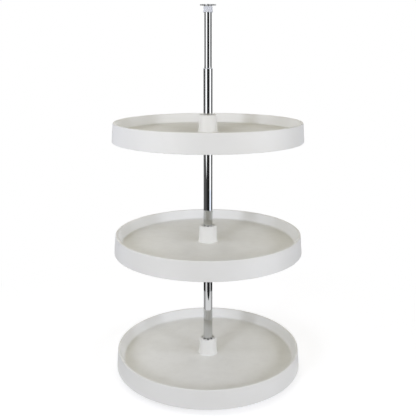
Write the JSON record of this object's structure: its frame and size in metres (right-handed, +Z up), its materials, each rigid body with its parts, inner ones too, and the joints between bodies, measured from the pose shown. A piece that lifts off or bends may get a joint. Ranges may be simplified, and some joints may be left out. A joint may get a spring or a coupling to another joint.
{
  "type": "rotating pantry tray stand",
  "caption": "Tiered round trays that turn independently on a telescoping chrome pole held between a floor bracket and a ceiling bracket.",
  "frame": {"origin": "centre of the fitting at the underside of the floor plate, on the pole's axis", "axes": "+Z up along the pole, -Y to the front as pictured, +X to the right"},
  "size_m": [0.4572, 0.4572, 0.892],
  "materials": {
    "white_polymer": "satin moulded polymer",
    "white_nylon": "matt moulded nylon",
    "acetal": "turned acetal",
    "black_nylon": "matt moulded nylon",
    "chrome": "bright chrome plate",
    "zinc_steel": "zinc-plated sheet steel"
  },
  "bodies": {
    "stand": {"floor_plate": "zinc_steel", "floor_spigot": "black_nylon", "spigot_screw": "zinc_steel", "lower_tube": "chrome", "tube_bush": "white_nylon", "thrust_washer_bottom": "white_nylon"},
    "lock_slider": {"lock_sleeve": "acetal"},
    "lock_wedge": {"lock_cone": "acetal"},
    "upper_pole": {"upper_tube": "chrome", "lock_plug": "black_nylon", "lock_stud": "zinc_steel"},
    "top_bracket": {"top_cup": "white_nylon", "top_plate": "zinc_steel", "top_rivet": "zinc_steel"},
    "bottom_tray": {"tray_bottom": "white_polymer", "hub_bush_bottom": "acetal"},
    "middle_carrier": {"support_collar_middle": "zinc_steel", "collar_screw_middle": "zinc_steel", "thrust_washer_middle": "white_nylon"},
    "middle_tray": {"tray_middle": "white_polymer", "hub_bush_middle": "acetal"},
    "top_carrier": {"support_collar_top": "zinc_steel", "collar_screw_top": "zinc_steel", "thrust_washer_top": "white_nylon"},
    "top_tray": {"tray_top": "white_polymer", "hub_bush_top": "acetal"}
  },
  "joints": [
    {"name": "pole_extension", "type": "slide", "parent": "stand", "child": "lock_slider", "axis": [0, 0, 1], "range_m": [-0.125, 0.1]},
    {"name": "lock_twist", "type": "hinge", "parent": "lock_slider", "child": "upper_pole", "pos_m": [0, 0, 0.5842], "axis": [0, 0, 1], "range_deg": [-180, 0]},
    {"name": "wedge_travel", "type": "slide", "parent": "lock_slider", "child": "lock_wedge", "axis": [0, 0, 1], "range_m": [-0.002, 0]},
    {"name": "bracket_swivel", "type": "hinge", "parent": "upper_pole", "child": "top_bracket", "pos_m": [0, 0, 0.8842], "axis": [0, 0, 1], "continuous": true},
    {"name": "bottom_tray_spin", "type": "hinge", "parent": "stand", "child": "bottom_tray", "pos_m": [0, 0, 0.0324], "axis": [0, 0, 1], "continuous": true},
    {"name": "middle_tray_height", "type": "slide", "parent": "stand", "child": "middle_carrier", "axis": [0, 0, 1], "range_m": [-0.1, 0.09]},
    {"name": "middle_tray_spin", "type": "hinge", "parent": "middle_carrier", "child": "middle_tray", "pos_m": [0, 0, 0.3251], "axis": [0, 0, 1], "continuous": true},
    {"name": "top_tray_height", "type": "slide", "parent": "stand", "child": "top_carrier", "axis": [0, 0, 1], "range_m": [-0.095, 0.1]},
    {"name": "top_tray_spin", "type": "hinge", "parent": "top_carrier", "child": "top_tray", "pos_m": [0, 0, 0.5963], "axis": [0, 0, 1], "continuous": true}
  ],
  "couplings": [
    {"joint": "lock_twist", "follows": "wedge_travel", "rad_per_m": 1570.8}
  ]
}
